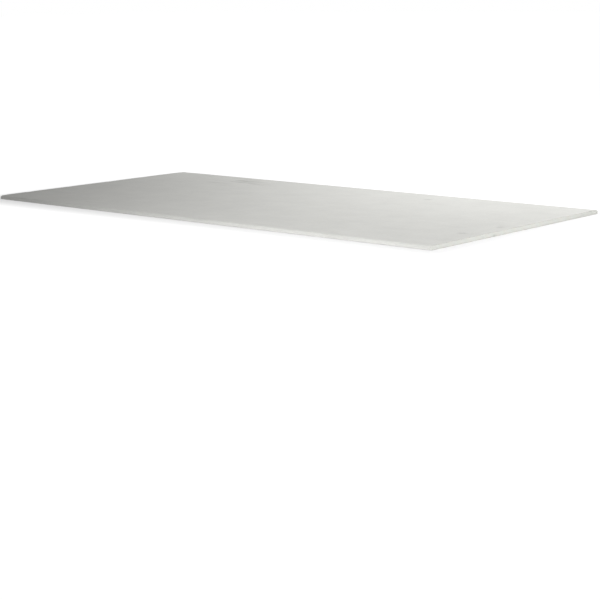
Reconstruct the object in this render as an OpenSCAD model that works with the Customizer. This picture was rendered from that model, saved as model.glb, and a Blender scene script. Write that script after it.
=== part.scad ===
// Drywall sheet: a flat gypsum board with paper-wrapped, half-round tapered long edges
// and square-cut ends. It lies face up, with its length along X and its width along Y.
// The origin is the middle of the back, which lies on Z = 0.

/* [Sheet] */
// Length from one cut end to the other
sheet_length = 2500; // [1200:50:4000]
// Width over the two long edges
sheet_width = 1250; // [600:25:1300]
// Thickness of the flat field
sheet_thickness = 18; // [9.5:0.5:25]

/* [Long edges] */
// Width of the band along each long edge in which the face leaves the flat field
taper_width = 55; // [40:1:80]
// Drop of the face from the flat field to the crown of the round nose
taper_depth = 1.5; // [0.6:0.1:2.5]
// Height of the upright strip of the edge, from the back to the foot of the round nose
edge_land = 4.5; // [3:0.5:6]
// Radius at which the paper folds from the upright strip onto the back
fold_radius = 2; // [0.5:0.5:2.5]

/* [Hidden] */

// Face paper of the sheet
paper_colour = "#d4d5cd";
// Round edges are true arcs
$fn = 96;

half_width = sheet_width / 2;

// The nose is a quarter round that fills the height between the upright strip and the taper
nose_radius = sheet_thickness - taper_depth - edge_land;
nose_centre = [half_width - nose_radius, edge_land];
nose_crown = nose_centre + [0, nose_radius];

// The fold is a quarter round between the upright strip and the back
fold_centre = [half_width - fold_radius, fold_radius];

// Corners of one long edge in the section, from the back up to the flat field
edge_corners = [
    [fold_centre.x, 0],
    fold_centre,
    [half_width, fold_centre.y],
    [half_width, nose_centre.y],
    nose_centre,
    nose_crown,
    [half_width - taper_width, sheet_thickness]
];

// The same corners on the other side of the middle line, in the opposite order
function mirrored(corners) =
    [for (i = [len(corners) - 1 : -1 : 0]) [-corners[i].x, corners[i].y]];

// Quarter of a disc, with its corner at the centre and its arc between +X and +Y
module quarter_disc(radius) {
    intersection() {
        circle(r = radius);
        square(radius);
    }
}

// Round nose and fold of the long edge on the +X side of the section
module edge_rounds() {
    translate(nose_centre)
        quarter_disc(nose_radius);
    translate(fold_centre)
        mirror([0, 1])
            quarter_disc(fold_radius);
}

// Cross section, with the width along X and the thickness along Y, alike at both long edges
module sheet_section() {
    polygon(concat(edge_corners, mirrored(edge_corners)));
    edge_rounds();
    mirror([1, 0])
        edge_rounds();
}

// The sheet: one section carried from cut end to cut end
module drywall_sheet() {
    color(paper_colour)
        rotate([90, 0, 90])
            linear_extrude(height = sheet_length, center = true)
                sheet_section();
}

drywall_sheet();
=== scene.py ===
"""Drywall sheet: a gypsum board wrapped in paper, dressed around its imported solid, on a plain floor.

The file is laid out as a Blender add-on and is run as a script. Lengths are in metres. The sheet lies
face up, with its length along X, its width along Y and its back on Z = 0.
"""

import math
from collections import namedtuple

import bpy
import numpy as np
from bpy.props import FloatProperty, FloatVectorProperty, IntProperty, PointerProperty
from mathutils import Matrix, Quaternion, Vector


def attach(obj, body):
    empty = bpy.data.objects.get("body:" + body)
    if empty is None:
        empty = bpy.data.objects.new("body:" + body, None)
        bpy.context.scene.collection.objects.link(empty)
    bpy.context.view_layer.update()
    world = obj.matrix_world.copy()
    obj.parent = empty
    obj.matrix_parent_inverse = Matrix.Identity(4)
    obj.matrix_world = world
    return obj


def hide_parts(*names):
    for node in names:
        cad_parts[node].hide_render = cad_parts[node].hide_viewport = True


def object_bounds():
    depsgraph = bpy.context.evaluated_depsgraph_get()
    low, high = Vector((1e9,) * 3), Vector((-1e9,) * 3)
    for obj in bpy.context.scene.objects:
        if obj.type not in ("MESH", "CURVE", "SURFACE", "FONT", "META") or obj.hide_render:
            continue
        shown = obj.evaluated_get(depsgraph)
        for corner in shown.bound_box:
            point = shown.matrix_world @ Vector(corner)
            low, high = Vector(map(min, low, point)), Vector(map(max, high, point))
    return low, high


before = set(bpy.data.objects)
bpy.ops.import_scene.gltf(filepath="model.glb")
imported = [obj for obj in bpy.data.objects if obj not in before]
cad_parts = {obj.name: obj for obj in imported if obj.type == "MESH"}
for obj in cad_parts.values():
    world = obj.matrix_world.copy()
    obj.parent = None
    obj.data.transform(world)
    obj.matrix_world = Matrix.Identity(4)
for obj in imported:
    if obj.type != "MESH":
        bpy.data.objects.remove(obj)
CAD_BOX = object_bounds()

# Where the right end and the face of the solid lie
RIGHT_END, FACE_TOP = CAD_BOX[1][0], CAD_BOX[1][2]

bl_info = {
    "name": "Drywall sheet",
    "version": (1, 0, 0),
    "blender": (4, 5, 0),
    "location": "View3D > Sidebar > Drywall",
    "description": "Builds the paper-wrapped surface of a drywall sheet and a plain studio around it",
    "category": "Object",
}

BOARD_NODE = "drywall_sheet"
BODY = "root"
MILLIMETRE = 0.001

# Names of the sheet's own mesh data
DEPTH_NAME = "skin_depth"
CHIP_NAME = "chipped_share"
BAKE_MAP = "OFBake"

# Order of the finishes on the sheet
FACE_PAPER, BACK_PAPER, GYPSUM_CORE = range(3)

# Points this close count as being at the same height
LEVEL = 0.01 * MILLIMETRE

# Edges of the mesh that turn by more than this stay sharp
SHARP_ANGLE = math.radians(50)

# Random heights are drawn on a square lattice with this many points along each side
LATTICE = 257
FACE_SEED, NOSE_SEED, EDGE_SEED, RAGGED_SEED, CORE_SEED, PIT_SEED, CUT_SEED = range(11, 18)

# Lengths over which the relief of the paper and of the core varies
FACE_DRIFT = (450 * MILLIMETRE, 350 * MILLIMETRE)
NOSE_DRIFT = 160 * MILLIMETRE
GRAIN_SIZE = (5 * MILLIMETRE, 3.5 * MILLIMETRE)
PIT_SIZE = (8 * MILLIMETRE, 5.5 * MILLIMETRE)
CHIP_SIZE = (12 * MILLIMETRE, 4.5 * MILLIMETRE)

# Lengths along a cut end over which its wear varies, and how far in from the end each kind of wear fades
DENT_SPACING, PRESS_REACH = 45 * MILLIMETRE, 4 * MILLIMETRE
FRAY_SPACING, FRAY_REACH = 6 * MILLIMETRE, 1.5 * MILLIMETRE
SWERVE_SPACING, SWERVE_REACH = 160 * MILLIMETRE, 20 * MILLIMETRE
BRUISE_REACH = 13 * MILLIMETRE

# Strength of each part of the paper's own look
FACE_FIBRE = {"Clouds": 0.1, "Streaks": 0.008, "Flecks": 0.04}
BACK_FIBRE = {"Clouds": 0.14, "Streaks": 0.02, "Flecks": 0.2}

# The curve between a screen's tones and the light that they stand for
WHITE_TONE = 255
CURVE_KNEE, CURVE_SLOPE, CURVE_LIFT, CURVE_POWER = 0.04045, 12.92, 0.055, 2.4


def seen_colour(red, green, blue):
    """Linear colour of a tone given as it is seen on a screen, from 0 to 255.

    Below the knee the light is the tone over the slope. Above it, it is a power of the lifted tone.
    """
    tone = np.array([red, green, blue]) / WHITE_TONE
    dark = tone / CURVE_SLOPE
    light = ((tone + CURVE_LIFT) / (1 + CURVE_LIFT)) ** CURVE_POWER
    return tuple(np.where(tone <= CURVE_KNEE, dark, light).tolist())


def length(name, description, default):
    """A property that holds a length."""
    return FloatProperty(name=name, description=description, default=default, unit="LENGTH", precision=5)


def share(name, description, default):
    """A property that holds a share from 0 to 1."""
    return FloatProperty(
        name=name, description=description, default=default, min=0, max=1, subtype="FACTOR"
    )


def colour(name, description, tone):
    """A property that holds a colour, given as it is seen on a screen."""
    light = seen_colour(*tone)
    return FloatVectorProperty(
        name=name, description=description, default=light, size=3, min=0, max=1, subtype="COLOR"
    )


def place(name, description, default):
    """A property that holds a point."""
    return FloatVectorProperty(
        name=name, description=description, default=default, size=3, subtype="TRANSLATION", unit="LENGTH"
    )


def angle(name, description, degrees):
    """A property that holds an angle."""
    turn = math.radians(degrees)
    return FloatProperty(name=name, description=description, default=turn, subtype="ANGLE")


def power(name, description, default):
    """A property that holds the power of a lamp."""
    return FloatProperty(name=name, description=description, default=default, min=0, unit="POWER")


def count(name, description, default):
    """A property that holds a number of mesh rows or columns."""
    return IntProperty(name=name, description=description, default=default, min=1)


class DrywallShape(bpy.types.PropertyGroup):
    """Small forms of the sheet that lie on its solid section."""

    paper: length("Paper", "Thickness of the paper on the face and the back", 0.5 * MILLIMETRE)
    flap: length("Flap", "Width of the face paper folded onto the back", 22 * MILLIMETRE)
    lap: length("Lap", "Step where the back paper ends on the folded face paper", 0.3 * MILLIMETRE)
    face_wave: length("Face wave", "Height of the slow unevenness of the face", 0.10 * MILLIMETRE)
    nose_wave: length("Nose wave", "Height of the unevenness of the long edges", 0.25 * MILLIMETRE)
    edge_drop: length("Edge drop", "How far the cut pulls the edge of the face down", 0.4 * MILLIMETRE)
    nick: length("Nick", "Depth of the deepest dents in the cut edge of the face", 0.9 * MILLIMETRE)
    ragged: length("Ragged edge", "Depth of the frays in the cut edge of the paper", 0.3 * MILLIMETRE)
    bruise: length("Corner bruise", "How far the corners are pushed in", 2.0 * MILLIMETRE)
    core_recess: length("Core recess", "How far the core lies behind the cut paper", 0.4 * MILLIMETRE)
    core_grain: length("Core grain", "Height of the roughness of the cut core", 0.25 * MILLIMETRE)
    pit: length("Pit", "Depth of the deepest air holes in the cut core", 0.9 * MILLIMETRE)
    first_chip: place("First chip", "Middle of a break in the right end", (RIGHT_END, -0.192, 0.0035))
    second_chip: place("Second chip", "Middle of a smaller break beside it", (RIGHT_END, -0.12, 0.003))
    chip: length("Chip", "Depth of the first chip", 2 * MILLIMETRE)
    second_share: share("Second share", "Size of the second chip as a share of the first", 0.6)
    column_step: length("Column step", "Spacing of the mesh across the width", 2.2 * MILLIMETRE)
    station_step: length("Station step", "Spacing of the mesh along the length", 62 * MILLIMETRE)
    end_stations: count("End stations", "Mesh rings close to each cut end", 9)
    core_rows: count("Core rows", "Mesh rows through the cut core", 12)
    taper_steps: count("Taper steps", "Mesh columns across each taper", 20)
    nose_steps: count("Nose steps", "Mesh columns round each nose", 14)


class DrywallFinish(bpy.types.PropertyGroup):
    """Colours and marks of the paper and the core."""

    face: colour("Face paper", "Paper of the face and the long edges", (221, 221, 217))
    back: colour("Back paper", "Paper of the back", (172, 167, 156))
    core: colour("Core", "Gypsum of the cut ends", (229, 230, 224))
    cut_paper: colour("Cut paper", "Edge of the paper where it is cut", (158, 151, 138))
    scuff: colour("Scuff", "Rubbed marks on the paper", (160, 160, 156))
    dust: colour("Dust", "Gypsum dust near the cut ends", (232, 232, 227))
    face_marks: share("Face marks", "Strength of the rubbed marks on the face paper", 0.65)
    back_marks: share("Back marks", "Strength of the rubbed marks on the back paper", 0.6)
    dusting: share("Dusting", "Strength of the dust near the cut ends", 0.35)
    rubbed: place("Rubbed place", "Middle of the rubbed stretch by the far edge", (-0.67, 0.49, FACE_TOP))
    rubbed_reach: length("Rubbed reach", "How far from its middle that stretch fades", 0.26)
    smudged: place("Smudged place", "Middle of a smudged stretch by the right end", (1.19, 0.01, FACE_TOP))
    smudged_reach: length("Smudged reach", "How far from its middle that stretch fades", 0.16)
    first_spot: place("First spot", "Middle of a dark spot by the right end", (1.198, -0.074, FACE_TOP))
    second_spot: place("Second spot", "Middle of a spot nearer the front edge", (1.167, -0.294, FACE_TOP))
    third_spot: place("Third spot", "Middle of a spot by the far edge", (0.468, 0.453, FACE_TOP))
    spot_reach: length("Spot reach", "How far from its middle a spot fades", 32 * MILLIMETRE)


class DrywallStage(bpy.types.PropertyGroup):
    """Camera, lamps and floor."""

    camera: place("Camera", "Where the camera stands", (4.5576, -5.2973, 0.937))
    azimuth: angle("Azimuth", "Turn of the camera round the sheet from its long side", 40.194)
    elevation: angle("Elevation", "Angle at which the camera looks down", 11.115)
    roll: angle("Roll", "Turn of the camera about its own line of sight", -0.458)
    lens: FloatProperty(name="Lens", description="Focal length", default=92.94, unit="CAMERA")
    back_box: place("Back box", "Where the soft box behind the sheet hangs", (0.4, 1.15, 2.7))
    back_aim: place("Back aim", "Point past the far corner that this box looks at", (1.8, 2.0, 0.0))
    front_box: place("Front box", "Where the soft box before the long edge stands", (0.85, -2.5, 0.55))
    right_box: place("Right box", "Where the soft box off the right end stands", (3.6, -0.2, 0.32))
    left_box: place("Left box", "Where the soft box behind the left end stands", (-1.6, 1.45, 0.6))
    end_box: place("End box", "Where the soft box straight off the left end stands", (-7.0, -0.3, 0.3))
    back_power: power("Back power", "Power of the soft box behind the sheet", 86.5)
    front_power: power("Front power", "Power of the soft box before the long edge", 39.5)
    right_power: power("Right power", "Power of the soft box off the right end", 46)
    left_power: power("Left power", "Power of the soft box behind the left end", 5)
    end_power: power("End power", "Power of the soft box straight off the left end", 130)
    box_width: length("Box width", "Width of each soft box", 1.6)
    high_box: length("High box", "Height of the soft box behind the sheet", 1.2)
    low_box: length("Low box", "Height of the other soft boxes", 0.6)
    fill: share("Fill", "Even light from all round", 0.045)
    floor: colour("Floor", "Colour of the floor", (178, 178, 178))
    floor_reach: length("Floor reach", "How far the floor goes on each way", 60.0)
    # The floor's lower glow close to the sheet is a painted shadow round it
    painted_shadow_glow: share("Near glow", "Own light of the floor close to the sheet", 0.55)
    far_glow: share("Far glow", "Own light of the floor away from the sheet", 1.0)
    painted_shadow_reach: length("Glow reach", "How far from the sheet the floor takes on its full glow", 0.25)


# The sheet's section

Section = namedtuple("Section", "half_length half_width thickness field crown land nose fold")


def read_section(node):
    """Sizes of the sheet, read from the corner points of its solid.

    The field ends where the points leave the top height. The upright strip spans the heights of the
    points at full width, from the fold to the land. The nose is the quarter round from the land to the
    highest point past the field.
    """
    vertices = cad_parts[node].data.vertices
    points = np.zeros(3 * len(vertices), np.float32)
    vertices.foreach_get("co", points)
    x, y, z = np.abs(points.reshape(-1, 3).astype(float)).T
    half_width, thickness = y.max(), z.max()
    field = y[z > thickness - LEVEL].max()
    strip = z[y > half_width - LEVEL]
    fold, land = strip.min(), strip.max()
    crown_height = z[y > field + LEVEL].max()
    nose = crown_height - land
    return Section(x.max(), half_width, thickness, field, half_width - nose, land, nose, fold)


def face_height(section, y):
    """Height of the face across the width.

    It is level over the field, goes straight down the taper, and ends in a quarter round.
    """
    reach = np.abs(y)
    past_crown = np.clip(reach - section.crown, 0, section.nose)
    crown_height = section.land + section.nose
    taper = np.interp(reach, [section.field, section.crown], [section.thickness, crown_height])
    return taper - section.nose + np.sqrt(section.nose**2 - past_crown**2)


def back_height(section, y):
    """Height of the back across the width: level, with a quarter round up to each upright strip."""
    past_fold = np.clip(np.abs(y) - section.half_width + section.fold, 0, section.fold)
    return section.fold - np.sqrt(section.fold**2 - past_fold**2)


def skin_distance(section, y, z):
    """Distance of points of the section from the nearest of the face, the nose, the edge and the back."""
    reach = np.abs(y)
    from_nose = section.nose - np.hypot(reach - section.crown, z - section.land)
    on_nose = (reach > section.crown) & (z > section.land)
    from_face = np.where(on_nose, from_nose, face_height(section, y) - z)
    from_back = z - back_height(section, y)
    return np.clip(np.minimum.reduce([from_face, from_back, section.half_width - reach]), 0, None)


# Places of the mesh


def column_places(section, shape):
    """Places across the width.

    They are even over the field and the taper, at equal angles round the nose, and a close pair where
    the back paper ends.
    """
    field = np.linspace(0, section.field, round(section.field / shape.column_step) + 1)
    taper = np.linspace(section.field, section.crown, shape.taper_steps + 1)
    turn = np.linspace(0, math.pi / 2, shape.nose_steps + 1)
    nose = section.crown + section.nose * np.sin(turn)
    lap = section.half_width - shape.flap + np.array([-shape.lap, shape.lap])
    half = np.concatenate([field, taper[1:], nose[1:], lap])
    half.sort()
    return np.concatenate([-half[:0:-1], half])


def station_places(section, shape):
    """Places along the length: even over the middle, and ever closer together towards the cut ends."""
    near = shape.station_step * np.linspace(0, 1, shape.end_stations + 1)[:-1] ** 2
    inner = section.half_length - shape.station_step
    middle = np.linspace(-inner, inner, round(2 * inner / shape.station_step) + 1)
    return np.concatenate([near - section.half_length, middle, (section.half_length - near)[::-1]])


def row_heights(section, shape, columns):
    """Heights through each column: the back, its paper, even rows of core, the paper and the face."""
    low, high = back_height(section, columns), face_height(section, columns)
    through = np.linspace(0, 1, shape.core_rows + 1)[:, None]
    core = low + shape.paper + through * (high - low - 2 * shape.paper)
    return np.vstack([low, core, high])


def ring_order(rows, columns):
    """Rows and columns of the section's grid in a walk round its outline, anticlockwise seen from +X."""
    across = np.arange(columns)
    up = np.arange(1, rows - 1)
    row = np.concatenate([0 * across, up, 0 * across + rows - 1, up[::-1]])
    column = np.concatenate([across, 0 * up + columns - 1, across[::-1], 0 * up])
    return row, column


def outline_normals(y, z):
    """Outward normals of a closed outline: the chord between a point's neighbours, turned by a quarter."""
    across = np.roll(y, -1) - np.roll(y, 1)
    up = np.roll(z, -1) - np.roll(z, 1)
    size = np.hypot(across, up)
    return up / size, -across / size


# Relief


def ease(value):
    """Smooth step from 0 at 0 to 1 at 1, held at both ends."""
    held = np.clip(value, 0, 1)
    return held * held * (3 - 2 * held)


def drift(u, v, seed):
    """Smooth random heights from -1 to 1: one for each whole number of u and v, and eased in between."""
    lattice = np.random.default_rng(seed).uniform(-1, 1, (LATTICE, LATTICE))
    u, v = np.broadcast_arrays(u, v)
    left, low = np.floor(u).astype(int), np.floor(v).astype(int)
    right_share, high_share = ease(u - left), ease(v - low)

    def between(row):
        start = lattice[left % LATTICE, row % LATTICE]
        end = lattice[(left + 1) % LATTICE, row % LATTICE]
        return start + (end - start) * right_share

    lower = between(low)
    return lower + (between(low + 1) - lower) * high_share


def dents(u, v, seed, least):
    """Separate dips from 0 to 1 where the random heights pass a least height."""
    return np.clip(drift(u, v, seed) - least, 0, None) / (1 - least)


def fade(value):
    """Bell curve from 1 at 0 down to nearly nothing past 2."""
    return np.exp(-(value**2))


def paper_relief(section, shape, x, y, up):
    """How far the paper stands out from the plain section; up is the upward part of the section's normal.

    The face drifts slowly, and the long edges drift over shorter lengths. The folded strips of face
    paper along the back lie one step deeper than the back paper that laps over them.
    """
    face = np.clip(up, 0, 1)
    back = np.clip(-up, 0, 1)
    upright = 1 - np.abs(up)
    on_flap = np.abs(y) > section.half_width - shape.flap
    slow = shape.face_wave * face * drift(x / FACE_DRIFT[0], y / FACE_DRIFT[1], FACE_SEED)
    short = shape.nose_wave * upright * drift(x / NOSE_DRIFT, np.sign(y), NOSE_SEED)
    return slow + short - shape.lap * back * on_flap


def cut_wear(section, shape, x, y, z):
    """Moves along x, y and z that cutting and handling have given the ends.

    The face's edge is pulled down all along and dented in places, the paper's edge is frayed, the line
    of the cut drifts, and the corners are pushed in, two of them more than the others. Each fades with
    the distance from the cut end.
    """
    least_dent, fray_rows, middle_level = 0.3, 3, 0.5
    knock_share, knock_change = 0.65, 0.35
    sideways_share, flatten_share = 0.6, 0.3
    end = section.half_length - np.abs(x)
    side = section.half_width - np.abs(y)
    outward_x, outward_y = np.sign(x), np.sign(y)
    level = z / section.thickness
    dent = shape.nick * dents(y / DENT_SPACING, outward_x, EDGE_SEED, least_dent)
    press = (shape.edge_drop + dent) * fade(end / PRESS_REACH)
    frayed = (1 + drift(y / FRAY_SPACING, fray_rows * level, RAGGED_SEED)) / 2
    swerved = 1 + drift(y / SWERVE_SPACING, outward_x, CUT_SEED)
    fray = shape.ragged * frayed * fade(end / FRAY_REACH)
    swerve = shape.ragged * swerved * fade(end / SWERVE_REACH)
    uneven = knock_share + knock_change * outward_x * outward_y
    knock = shape.bruise * uneven * fade(np.hypot(end, side) / BRUISE_REACH)
    move_x = -outward_x * (fray + swerve + knock)
    move_y = -outward_y * sideways_share * knock
    move_z = -press * level**2 - flatten_share * knock * (level - middle_level)
    return move_x, move_y, move_z


def chipped_share(shape, end, y, z):
    """How far points of a cut end lie in a chip.

    A bell curve round each chip gives 1 at the middle of the first, less in the second, and 0 elsewhere.
    """
    chipped = 0 * y
    for size, chip in ((1, shape.first_chip), (shape.second_share, shape.second_chip)):
        chip_x, chip_y, chip_z = chip
        across = (y - chip_y) / (size * CHIP_SIZE[0])
        up = (z - chip_z) / (size * CHIP_SIZE[1])
        on_this_end = end * chip_x > 0
        chipped = chipped + on_this_end * size * fade(np.hypot(across, up))
    return chipped


def core_depth(shape, end, y, z, inside, chipped):
    """How far the cut core lies behind the paper's edge: an even recess, grain, air holes and chips.

    Inside is the distance from the skin, and the core begins within about a paper's thickness of it.
    The end is -1 or 1, and each end takes its own stretch of the random heights.
    """
    least_pit, rim_share = 0.45, 0.3
    grain = shape.core_grain * drift((y + end) / GRAIN_SIZE[0], z / GRAIN_SIZE[1], CORE_SEED)
    holes = shape.pit * dents((y + end) / PIT_SIZE[0], z / PIT_SIZE[1], PIT_SEED, least_pit)
    broken = shape.chip * chipped
    return ease(inside / shape.paper - rim_share) * (shape.core_recess + grain + holes + broken)


# The sheet's mesh

Surface = namedtuple("Surface", "points quads finish depth chipped skin_map")


def skin_quads(stations, ring_size):
    """Quads between each ring of the skin and the next, and the place of each on its ring."""
    ring = np.arange(ring_size)
    after = np.roll(ring, -1)
    first = ring_size * np.arange(stations - 1)[:, None]
    second = first + ring_size
    quads = np.stack([first + ring, first + after, second + after, second + ring], axis=-1)
    return quads.reshape(-1, 4), np.tile(ring, stations - 1)


def grid_quads(numbers):
    """Quads of a grid of corner numbers, anticlockwise with columns to the right and rows going up."""
    corners = [numbers[:-1, :-1], numbers[:-1, 1:], numbers[1:, 1:], numbers[1:, :-1]]
    return np.stack(corners, axis=-1).reshape(-1, 4)


def sheet_surface(section, shape):
    """The closed surface of the sheet: its outline carried along X as a skin, and a grid over each end.

    The section is a grid of columns across the width and rows through the thickness. Its outline makes
    the rings of the skin, and the cut ends share the first and the last ring.
    """
    level_back = -0.99
    columns = column_places(section, shape)
    heights = row_heights(section, shape, columns)
    stations = station_places(section, shape)
    row, column = ring_order(*heights.shape)
    ring_size = len(row)

    # Skin: the outline at each station, moved along its normal by the relief and then by the ends' wear
    ring_y, ring_z = columns[column], heights[row, column]
    out_y, out_z = outline_normals(ring_y, ring_z)
    x = stations[:, None] + 0 * ring_y
    relief = paper_relief(section, shape, x, ring_y, out_z)
    skin = np.stack([x, ring_y + relief * out_y, ring_z + relief * out_z], axis=-1)
    skin = skin + np.stack(cut_wear(section, shape, x, ring_y, ring_z), axis=-1)

    # Cut ends: the inner part of the section's grid, set back behind the paper's edge
    inner_y = np.broadcast_to(columns, heights.shape)[1:-1, 1:-1]
    inner_z = heights[1:-1, 1:-1]
    inside = skin_distance(section, inner_y, inner_z)
    on_skin = np.zeros(ring_size * len(stations))
    ring_quads, ring_place = skin_quads(len(stations), ring_size)
    point_sets, quad_sets, chip_sets = [skin.reshape(-1, 3)], [ring_quads], [on_skin]
    for end, first in ((-1, 0), (1, ring_size * (len(stations) - 1))):
        chipped = chipped_share(shape, end, inner_y, inner_z)
        back = core_depth(shape, end, inner_y, inner_z, inside, chipped)
        cut_x = end * section.half_length + 0 * inner_y
        moves = cut_wear(section, shape, cut_x, inner_y, inner_z)
        cut = np.stack([cut_x - end * back, inner_y, inner_z], axis=-1) + np.stack(moves, axis=-1)
        numbers = np.zeros(heights.shape, int)
        numbers[row, column] = first + np.arange(ring_size)
        numbers[1:-1, 1:-1] = sum(map(len, point_sets)) + np.arange(inside.size).reshape(inside.shape)
        point_sets.append(cut.reshape(-1, 3))
        chip_sets.append(chipped.ravel())
        quad_sets.append(grid_quads(numbers)[:, ::end])
    points, quads = np.concatenate(point_sets), np.concatenate(quad_sets)

    # Finish of each quad: back paper between the laps, face paper on the other skin, core on the ends
    middle = (ring_y + np.roll(ring_y, -1)) / 2
    on_back = (out_z < level_back) & (np.abs(middle) < section.half_width - shape.flap)
    skin_finish = np.where(on_back, BACK_PAPER, FACE_PAPER)[ring_place]
    cut_finish = np.full(len(quads) - len(ring_quads), GYPSUM_CORE)
    finish = np.concatenate([skin_finish, cut_finish])

    # Depth behind the skin, which is nothing on the skin itself
    depth = np.concatenate([on_skin, inside.ravel(), inside.ravel()])
    skin_map = unrolled_map(section, points, quads, len(ring_quads), ring_y, ring_z, ring_place)
    return Surface(points, quads, finish, depth, np.concatenate(chip_sets), skin_map)


def unrolled_map(section, points, quads, skin_count, ring_y, ring_z, ring_place):
    """Flat map of the surface: the skin unrolled, its length across, and beside it both ends upright."""
    skin_share, end_share, end_starts, margin = 0.90, 0.035, (0.912, 0.958), 0.004
    corner = points[quads]
    across = (corner[..., 0] / section.half_length + 1) / 2
    steps = np.hypot(np.roll(ring_y, -1) - ring_y, np.roll(ring_z, -1) - ring_z)
    walked = np.concatenate([[0], np.cumsum(steps)]) / steps.sum()
    start, stop = walked[ring_place], walked[ring_place + 1]
    skin_up = np.stack([start, stop, stop, start], axis=-1)
    skin = np.stack([across[:skin_count] * skin_share, skin_up], axis=-1)
    cut = corner[skin_count:]
    cut_across = np.where(cut[..., 0] < 0, *end_starts) + end_share * cut[..., 2] / section.thickness
    cut_up = margin + (1 - 2 * margin) * (cut[..., 1] / section.half_width + 1) / 2
    return np.concatenate([skin, np.stack([cut_across, cut_up], axis=-1)])


def mesh_object(name, points, quads):
    """A new object with that mesh, in the scene."""
    mesh = bpy.data.meshes.new(name)
    mesh.from_pydata(points.tolist(), [], quads.tolist())
    made = bpy.data.objects.new(name, mesh)
    bpy.context.scene.collection.objects.link(made)
    return made


# Shader helpers

MIX_FACTOR, MIX_A, MIX_B, MIX_RESULT = 0, 6, 7, 2
NODE_GAP = 220


def add(tree, kind, values=None, **settings):
    """A node of that kind with those settings; its values are numbers to set or sockets to link."""
    node = tree.nodes.new(kind)
    node.location.x = NODE_GAP * len(tree.nodes)
    for name, value in settings.items():
        setattr(node, name, value)
    for socket, value in (values or {}).items():
        if isinstance(value, bpy.types.NodeSocket):
            tree.links.new(value, node.inputs[socket])
        else:
            node.inputs[socket].default_value = value
    return node


def maths(tree, operation, first, second=0.0):
    """The result of a Math node."""
    return add(tree, "ShaderNodeMath", {0: first, 1: second}, operation=operation).outputs["Value"]


def step(tree, value, start, stop):
    """0 up to the start, 1 from the stop on, and smooth in between; the start may be the higher one."""
    limits = {"Value": value, "From Min": start, "From Max": stop}
    return add(tree, "ShaderNodeMapRange", limits, interpolation_type="SMOOTHSTEP").outputs["Result"]


def spread(tree, value, low, high):
    """A value from 0 to 1 spread evenly from low to high."""
    limits = {"Value": value, "To Min": low, "To Max": high}
    return add(tree, "ShaderNodeMapRange", limits).outputs["Result"]


def noise(tree, position, size, detail=2.0, stretch=(1, 1, 1)):
    """Random clouds from 0 to 1, about that size across, and drawn out along each axis by the stretch."""
    scale = [1 / (size * longer) for longer in stretch]
    mapped = add(tree, "ShaderNodeMapping", {"Vector": position, "Scale": scale}).outputs["Vector"]
    values = {"Vector": mapped, "Scale": 1.0, "Detail": detail}
    return add(tree, "ShaderNodeTexNoise", values).outputs["Fac"]


def mix(tree, amount, first, second):
    """The first colour at amount 0, turning to the second at amount 1."""
    node = add(tree, "ShaderNodeMix", {MIX_FACTOR: amount}, data_type="RGBA")
    for socket, value in ((MIX_A, first), (MIX_B, second)):
        if isinstance(value, bpy.types.NodeSocket):
            tree.links.new(value, node.inputs[socket])
        else:
            node.inputs[socket].default_value = (*value, 1)
    return node.outputs[MIX_RESULT]


def toned(tree, tint, tone):
    """A colour made lighter or darker by a tone near 1."""
    values = {0: tuple(tint), "Scale": tone}
    return add(tree, "ShaderNodeVectorMath", values, operation="SCALE").outputs["Vector"]


def new_group(name, inputs, outputs):
    """A shader node group with a Position input, number inputs with their defaults, and number outputs."""
    group = bpy.data.node_groups.new(name, "ShaderNodeTree")
    group.interface.new_socket("Position", in_out="INPUT", socket_type="NodeSocketVector")
    for label, default in inputs.items():
        socket = group.interface.new_socket(label, in_out="INPUT", socket_type="NodeSocketFloat")
        socket.default_value = default
    for label in outputs:
        group.interface.new_socket(label, in_out="OUTPUT", socket_type="NodeSocketFloat")
    return group, add(group, "NodeGroupInput").outputs


def paper_fibre_group():
    """Node group of the paper's own look: soft clouds, long streaks, dark flecks and fibre height."""
    cloud_size, sheet_cloud_size = 12 * MILLIMETRE, 140 * MILLIMETRE
    streak_width, streak_stretch = 8 * MILLIMETRE, (90, 1, 1)
    fibre_width, fibre_stretch = 1.5 * MILLIMETRE, (2, 1, 1)
    fleck_limits, fibre_share = (0.64, 0.74), 0.5
    middle, full_tone = 0.5, 1.0
    group, given = new_group("paper_fibre", FACE_FIBRE, ("Tone", "Height"))
    position = given["Position"]
    small = noise(group, position, cloud_size, detail=4)
    large = noise(group, position, sheet_cloud_size)
    streak = noise(group, position, streak_width, detail=3, stretch=streak_stretch)
    fibre = noise(group, position, fibre_width, stretch=fibre_stretch)
    cloud = maths(group, "SUBTRACT", maths(group, "ADD", small, large), 2 * middle)
    clouds = maths(group, "MULTIPLY", cloud, given["Clouds"])
    streaks = maths(group, "MULTIPLY", maths(group, "SUBTRACT", streak, middle), given["Streaks"])
    flecks = maths(group, "MULTIPLY", step(group, fibre, *fleck_limits), given["Flecks"])
    darker = maths(group, "SUBTRACT", maths(group, "ADD", clouds, streaks), flecks)
    tone = maths(group, "ADD", darker, full_tone)
    height = maths(group, "ADD", maths(group, "MULTIPLY", fibre, fibre_share), small)
    add(group, "NodeGroupOutput", {"Tone": tone, "Height": height})
    return group


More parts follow.
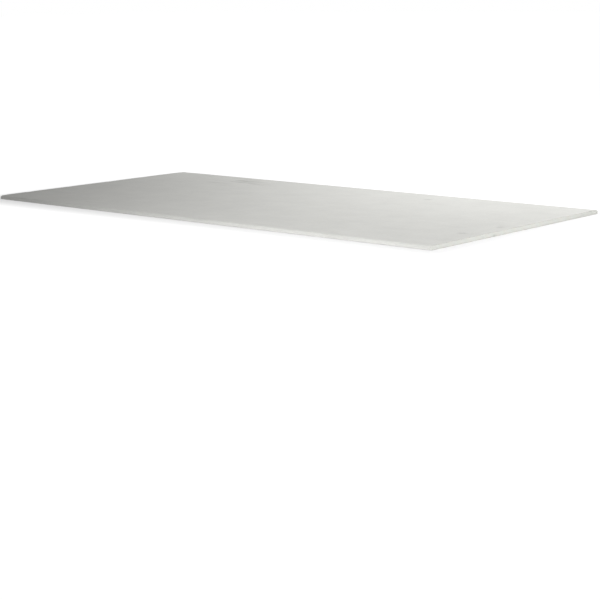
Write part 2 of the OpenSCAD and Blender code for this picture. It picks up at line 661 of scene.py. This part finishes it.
def handling_wear_group(section, finish):
    """Node group of handling marks: rubbed strokes with dust between, dark spots, and dust by the ends.

    The strokes run along the length. They are strongest round the rubbed and the smudged place, and
    faint in patches along the other edges.
    """
    stroke_width, stroke_stretch = 62 * MILLIMETRE, (4, 1, 1)
    stroke_shift = (100 * MILLIMETRE, 45 * MILLIMETRE, 0)
    dark_limits, pale_limits = (0.50, 0.68), (0.48, 0.34)
    patch_size, patch_limits = 300 * MILLIMETRE, (0.48, 0.64)
    dust_size, dust_limits = 7 * MILLIMETRE, (0.30, 0.70)
    grip_size, grip_limits = 14 * MILLIMETRE, (0.20, 0.55)
    edge_reach, dust_reach = 240 * MILLIMETRE, 50 * MILLIMETRE
    least_share, patch_share, spot_share = 0.04, 0.25, 0.6
    strengths = {"Marks": finish.face_marks, "Dusting": finish.dusting}
    group, given = new_group("handling_wear", strengths, ("Scuff", "Dust"))
    position = given["Position"]
    place_of = add(group, "ShaderNodeSeparateXYZ", {"Vector": position}).outputs
    from_end = maths(group, "SUBTRACT", section.half_length, maths(group, "ABSOLUTE", place_of["X"]))
    from_edge = maths(group, "SUBTRACT", section.half_width, maths(group, "ABSOLUTE", place_of["Y"]))
    moved = add(group, "ShaderNodeVectorMath", {0: position, 1: stroke_shift}, operation="SUBTRACT")
    strokes = noise(group, moved.outputs["Vector"], stroke_width, detail=3, stretch=stroke_stretch)
    dark = step(group, strokes, *dark_limits)
    pale = step(group, strokes, *pale_limits)
    patches = step(group, noise(group, position, patch_size), *patch_limits)
    outer = step(group, maths(group, "MINIMUM", from_edge, from_end), edge_reach, 0.0)
    scattered = maths(group, "MULTIPLY", maths(group, "MULTIPLY", patches, outer), patch_share)
    rubbed = around(group, position, finish.rubbed, finish.rubbed_reach)
    smudged = around(group, position, finish.smudged, finish.smudged_reach)
    marked = maths(group, "MAXIMUM", rubbed, smudged)
    where = maths(group, "MAXIMUM", maths(group, "MAXIMUM", marked, scattered), least_share)
    marks = maths(group, "MULTIPLY", where, given["Marks"])
    spots = 0.0
    for spot in (finish.first_spot, finish.second_spot, finish.third_spot):
        spots = maths(group, "MAXIMUM", spots, around(group, position, spot, finish.spot_reach))
    gripped = step(group, noise(group, position, grip_size), *grip_limits)
    spotted = maths(group, "MULTIPLY", maths(group, "MULTIPLY", spots, gripped), spot_share)
    smears = maths(group, "MULTIPLY", spotted, given["Marks"])
    scuff = maths(group, "MAXIMUM", maths(group, "MULTIPLY", dark, marks), smears)
    settled = step(group, noise(group, position, dust_size, detail=4), *dust_limits)
    near_end = maths(group, "MULTIPLY", step(group, from_end, dust_reach, 0.0), settled)
    by_end = maths(group, "MULTIPLY", near_end, given["Dusting"])
    dust = maths(group, "MAXIMUM", by_end, maths(group, "MULTIPLY", pale, marks))
    add(group, "NodeGroupOutput", {"Scuff": scuff, "Dust": dust})
    return group


def around(tree, position, middle, reach):
    """1 at the middle of a place, fading to 0 at its reach."""
    ends = {0: position, 1: tuple(middle)}
    distance = add(tree, "ShaderNodeVectorMath", ends, operation="DISTANCE").outputs["Value"]
    return step(tree, distance, reach, 0.0)


def placed(tree, group, values):
    """Outputs of a node group set into a material with its own values."""
    return add(tree, "ShaderNodeGroup", values, node_tree=group).outputs


def new_material(name):
    """An empty node material, and the object's coordinates in it."""
    material = bpy.data.materials.new(name)
    material.use_nodes = True
    tree = material.node_tree
    tree.nodes.clear()
    return material, tree, add(tree, "ShaderNodeTexCoord").outputs["Object"]


def finished(tree, colour_socket, roughness, height, relief, gloss):
    """Ends a material in a Principled shader; relief is the height in metres that the bump stands for."""
    bump = add(tree, "ShaderNodeBump", {"Height": height, "Distance": relief, "Strength": 1.0})
    values = {
        "Base Color": colour_socket,
        "Roughness": roughness,
        "Normal": bump.outputs["Normal"],
        "Specular IOR Level": gloss,
    }
    shader = add(tree, "ShaderNodeBsdfPrincipled", values)
    add(tree, "ShaderNodeOutputMaterial", {"Surface": shader.outputs["BSDF"]})


def paper_material(name, groups, tint, finish, marks, fibre_values):
    """Liner paper of one tint: fibre tone, dust, and rubbed marks that are a little smoother."""
    rough_range, rubbed_gloss = (0.80, 0.92), 0.3
    fibre_relief, gloss = 0.02 * MILLIMETRE, 0.25
    material, tree, position = new_material(name)
    fibre = placed(tree, groups["fibre"], {"Position": position, **fibre_values})
    wear = placed(tree, groups["wear"], {"Position": position, "Marks": marks, "Dusting": finish.dusting})
    paper = toned(tree, tint, fibre["Tone"])
    marked = mix(tree, wear["Scuff"], paper, finish.scuff)
    dusted = mix(tree, wear["Dust"], marked, finish.dust)
    smoother = maths(tree, "MULTIPLY", wear["Scuff"], rubbed_gloss)
    roughness = maths(tree, "SUBTRACT", spread(tree, fibre["Height"], *rough_range), smoother)
    finished(tree, dusted, roughness, fibre["Height"], fibre_relief, gloss)
    return material


def core_material(name, shape, finish):
    """Cut gypsum between two cut papers, with blotches, upright blade marks, grain and bumpy pores, and
    painted shade in the pores and chips.
    """
    blotch_size, grain_size, grain_share = 60 * MILLIMETRE, 1.2 * MILLIMETRE, 0.7
    blade_width, blade_stretch = 4 * MILLIMETRE, (1, 1, 8)
    pore_size, pore_limits = 2.2 * MILLIMETRE, (0.66, 0.72)
    pore_painted_shade, chip_painted_shade = 0.15, 0.15
    tone_range, rough_range = (0.90, 0.98), (0.85, 0.97)
    paper_end, core_start = 0.75 * shape.paper, 1.1 * shape.paper
    grain_relief, gloss = 0.05 * MILLIMETRE, 0.2
    material, tree, position = new_material(name)
    blotch = noise(tree, position, blotch_size, detail=3)
    blade = noise(tree, position, blade_width, stretch=blade_stretch)
    grain = noise(tree, position, grain_size)
    fine = maths(tree, "MULTIPLY", grain, grain_share)
    uneven = maths(tree, "ADD", maths(tree, "ADD", blotch, blade), fine)
    tone = spread(tree, uneven, *tone_range)
    pores = step(tree, noise(tree, position, pore_size, detail=1), *pore_limits)
    chipped = add(tree, "ShaderNodeAttribute", attribute_name=CHIP_NAME).outputs["Fac"]
    # Painted shade: the gypsum is darkened in its pores and in the chips, as if shade fell in these
    # hollows
    painted_pore_shade = maths(tree, "MULTIPLY", pores, pore_painted_shade)
    painted_chip_shade = maths(tree, "MULTIPLY", chipped, chip_painted_shade)
    shaded = maths(tree, "SUBTRACT", maths(tree, "SUBTRACT", tone, painted_pore_shade), painted_chip_shade)
    gypsum = toned(tree, finish.core, shaded)
    depth = add(tree, "ShaderNodeAttribute", attribute_name=DEPTH_NAME).outputs["Fac"]
    in_core = step(tree, depth, paper_end, core_start)
    cut = mix(tree, in_core, finish.cut_paper, gypsum)
    height = maths(tree, "SUBTRACT", maths(tree, "ADD", grain, blade), pores)
    finished(tree, cut, spread(tree, grain, *rough_range), height, grain_relief, gloss)
    return material


# Stage helpers


def aimed(way):
    """Turn that points an object's own -Z along a way, with its Y up."""
    return Vector(way).to_track_quat("-Z", "Y")


def add_camera(stage):
    """The camera at its place, turned by azimuth and elevation and then about its line of sight."""
    level = math.cos(stage.elevation)
    way = (-math.sin(stage.azimuth) * level, math.cos(stage.azimuth) * level, -math.sin(stage.elevation))
    lens = bpy.data.cameras.new("camera")
    lens.lens = stage.lens
    camera = bpy.data.objects.new("camera", lens)
    camera.location = stage.camera
    camera.rotation_mode = "QUATERNION"
    camera.rotation_quaternion = aimed(way) @ Quaternion((0, 0, 1), stage.roll)
    bpy.context.scene.collection.objects.link(camera)
    bpy.context.scene.camera = camera


def nearest_point(section, at):
    """Point under the sheet that is nearest to a place."""
    half = np.array([section.half_length, section.half_width, 0])
    return np.clip(at, -half, half)


def add_soft_box(name, at, aim, width, height, watts):
    """A rectangular lamp that looks at a point, and that the camera doesn't see."""
    lamp = bpy.data.lights.new(name, "AREA")
    lamp.shape = "RECTANGLE"
    lamp.size, lamp.size_y = width, height
    lamp.energy = watts
    box = bpy.data.objects.new(name, lamp)
    box.location = at
    box.rotation_mode = "QUATERNION"
    box.rotation_quaternion = aimed(np.array(aim) - np.array(at))
    box.visible_camera = False
    bpy.context.scene.collection.objects.link(box)


def looked_at(tree):
    """1 for rays from the camera, straight, by a reflection or through glass, and 0 for the rest."""
    rays = add(tree, "ShaderNodeLightPath").outputs
    direct = maths(tree, "MAXIMUM", rays["Is Camera Ray"], rays["Is Glossy Ray"])
    return maths(tree, "MAXIMUM", direct, rays["Is Transmission Ray"])


def add_world(stage):
    """Even light of the fill's strength, which looks white."""
    world = bpy.data.worlds.new("studio")
    world.use_nodes = True
    tree = world.node_tree
    tree.nodes.clear()
    strength = spread(tree, looked_at(tree), stage.fill, 1.0)
    background = add(tree, "ShaderNodeBackground", {"Color": (1, 1, 1, 1), "Strength": strength})
    add(tree, "ShaderNodeOutputWorld", {"Surface": background.outputs["Background"]})
    bpy.context.scene.world = world


def floor_material(section, stage):
    """Matt floor that takes the sheet's shadow, and glows for the camera alone, with a lower glow by the
    sheet that paints a soft shadow round it.
    """
    material, tree, position = new_material("floor")
    matt = add(tree, "ShaderNodeBsdfDiffuse", {"Color": (*stage.floor, 1)})
    place_of = add(tree, "ShaderNodeSeparateXYZ", {"Vector": position}).outputs
    past_end = maths(tree, "SUBTRACT", maths(tree, "ABSOLUTE", place_of["X"]), section.half_length)
    past_edge = maths(tree, "SUBTRACT", maths(tree, "ABSOLUTE", place_of["Y"]), section.half_width)
    outside = {"X": maths(tree, "MAXIMUM", past_end, 0.0), "Y": maths(tree, "MAXIMUM", past_edge, 0.0)}
    gap = add(tree, "ShaderNodeCombineXYZ", outside).outputs["Vector"]
    distance = add(tree, "ShaderNodeVectorMath", {0: gap}, operation="LENGTH").outputs["Value"]
    # Painted shadow: the glow is lowest at the sheet and full from the reach on
    away = step(tree, distance, 0.0, stage.painted_shadow_reach)
    level = spread(tree, away, stage.painted_shadow_glow, stage.far_glow)
    strength = maths(tree, "MULTIPLY", looked_at(tree), level)
    glow = add(tree, "ShaderNodeEmission", {"Strength": strength})
    both = add(tree, "ShaderNodeAddShader", {0: matt.outputs["BSDF"], 1: glow.outputs["Emission"]})
    add(tree, "ShaderNodeOutputMaterial", {"Surface": both.outputs["Shader"]})
    return material


def add_floor(section, stage):
    """A wide square floor under the sheet."""
    corner = np.array([-stage.floor_reach, stage.floor_reach])
    x, y = np.meshgrid(corner, corner)
    points = np.stack([x, y, np.zeros_like(x)], axis=-1).reshape(-1, 3)
    floor = mesh_object("floor", points, grid_quads(np.arange(points.shape[0]).reshape(x.shape)))
    floor.data.materials.append(floor_material(section, stage))


# Operators, panel and registration


class DRYWALL_OT_build_sheet(bpy.types.Operator):
    """Build the papered surface of the sheet around its solid"""

    bl_idname = "drywall.build_sheet"
    bl_label = "Build sheet"

    def execute(self, context):
        shape, finish = context.scene.drywall_shape, context.scene.drywall_finish
        section = read_section(BOARD_NODE)
        surface = sheet_surface(section, shape)
        sheet = mesh_object("papered_sheet", surface.points, surface.quads)
        mesh = sheet.data
        groups = {"fibre": paper_fibre_group(), "wear": handling_wear_group(section, finish)}
        face = paper_material("face_paper", groups, finish.face, finish, finish.face_marks, FACE_FIBRE)
        back = paper_material("back_paper", groups, finish.back, finish, finish.back_marks, BACK_FIBRE)
        for material in (face, back, core_material("gypsum_core", shape, finish)):
            mesh.materials.append(material)
        mesh.polygons.foreach_set("material_index", surface.finish.astype(np.int32))
        for name, values in ((DEPTH_NAME, surface.depth), (CHIP_NAME, surface.chipped)):
            attribute = mesh.attributes.new(name, "FLOAT", "POINT")
            attribute.data.foreach_set("value", values.astype(np.float32))
        flat_map = mesh.uv_layers.new(name=BAKE_MAP)
        flat_map.data.foreach_set("uv", surface.skin_map.astype(np.float32).ravel())
        mesh.shade_smooth()
        mesh.set_sharp_from_angle(angle=SHARP_ANGLE)
        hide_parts(BOARD_NODE)
        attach(sheet, BODY)
        return {"FINISHED"}


class DRYWALL_OT_build_stage(bpy.types.Operator):
    """Build the floor, the lamps, the even light and the camera"""

    bl_idname = "drywall.build_stage"
    bl_label = "Build stage"

    def execute(self, context):
        stage = context.scene.drywall_stage
        context.scene.view_settings.view_transform = "Standard"
        section = read_section(BOARD_NODE)
        width = stage.box_width
        low_boxes = (
            ("front_box", stage.front_box, stage.front_power),
            ("right_box", stage.right_box, stage.right_power),
            ("left_box", stage.left_box, stage.left_power),
            ("end_box", stage.end_box, stage.end_power),
        )
        add_soft_box("back_box", stage.back_box, stage.back_aim, width, stage.high_box, stage.back_power)
        for name, at, watts in low_boxes:
            add_soft_box(name, at, nearest_point(section, at), width, stage.low_box, watts)
        add_world(stage)
        add_floor(section, stage)
        add_camera(stage)
        return {"FINISHED"}


class DRYWALL_PT_panel(bpy.types.Panel):
    """Lists the sheet's settings and the steps that build it"""

    bl_idname = "DRYWALL_PT_panel"
    bl_label = "Drywall sheet"
    bl_space_type = "VIEW_3D"
    bl_region_type = "UI"
    bl_category = "Drywall"

    def draw(self, context):
        scene = context.scene
        for settings, operator in (
            (scene.drywall_shape, None),
            (scene.drywall_finish, DRYWALL_OT_build_sheet),
            (scene.drywall_stage, DRYWALL_OT_build_stage),
        ):
            column = self.layout.column(align=True)
            for name in settings.__annotations__:
                column.prop(settings, name)
            if operator:
                column.operator(operator.bl_idname)


CLASSES = (
    DrywallShape,
    DrywallFinish,
    DrywallStage,
    DRYWALL_OT_build_sheet,
    DRYWALL_OT_build_stage,
    DRYWALL_PT_panel,
)


def register():
    """Registers the classes and hangs their settings on the scene."""
    for item in CLASSES:
        bpy.utils.register_class(item)
    bpy.types.Scene.drywall_shape = PointerProperty(type=DrywallShape)
    bpy.types.Scene.drywall_finish = PointerProperty(type=DrywallFinish)
    bpy.types.Scene.drywall_stage = PointerProperty(type=DrywallStage)


def unregister():
    """Takes the settings off the scene and unregisters the classes."""
    del bpy.types.Scene.drywall_stage
    del bpy.types.Scene.drywall_finish
    del bpy.types.Scene.drywall_shape
    for item in reversed(CLASSES):
        bpy.utils.unregister_class(item)


def main():
    """Builds the sheet and the stage."""
    register()
    bpy.ops.drywall.build_sheet()
    bpy.ops.drywall.build_stage()


if __name__ == "__main__":
    main()
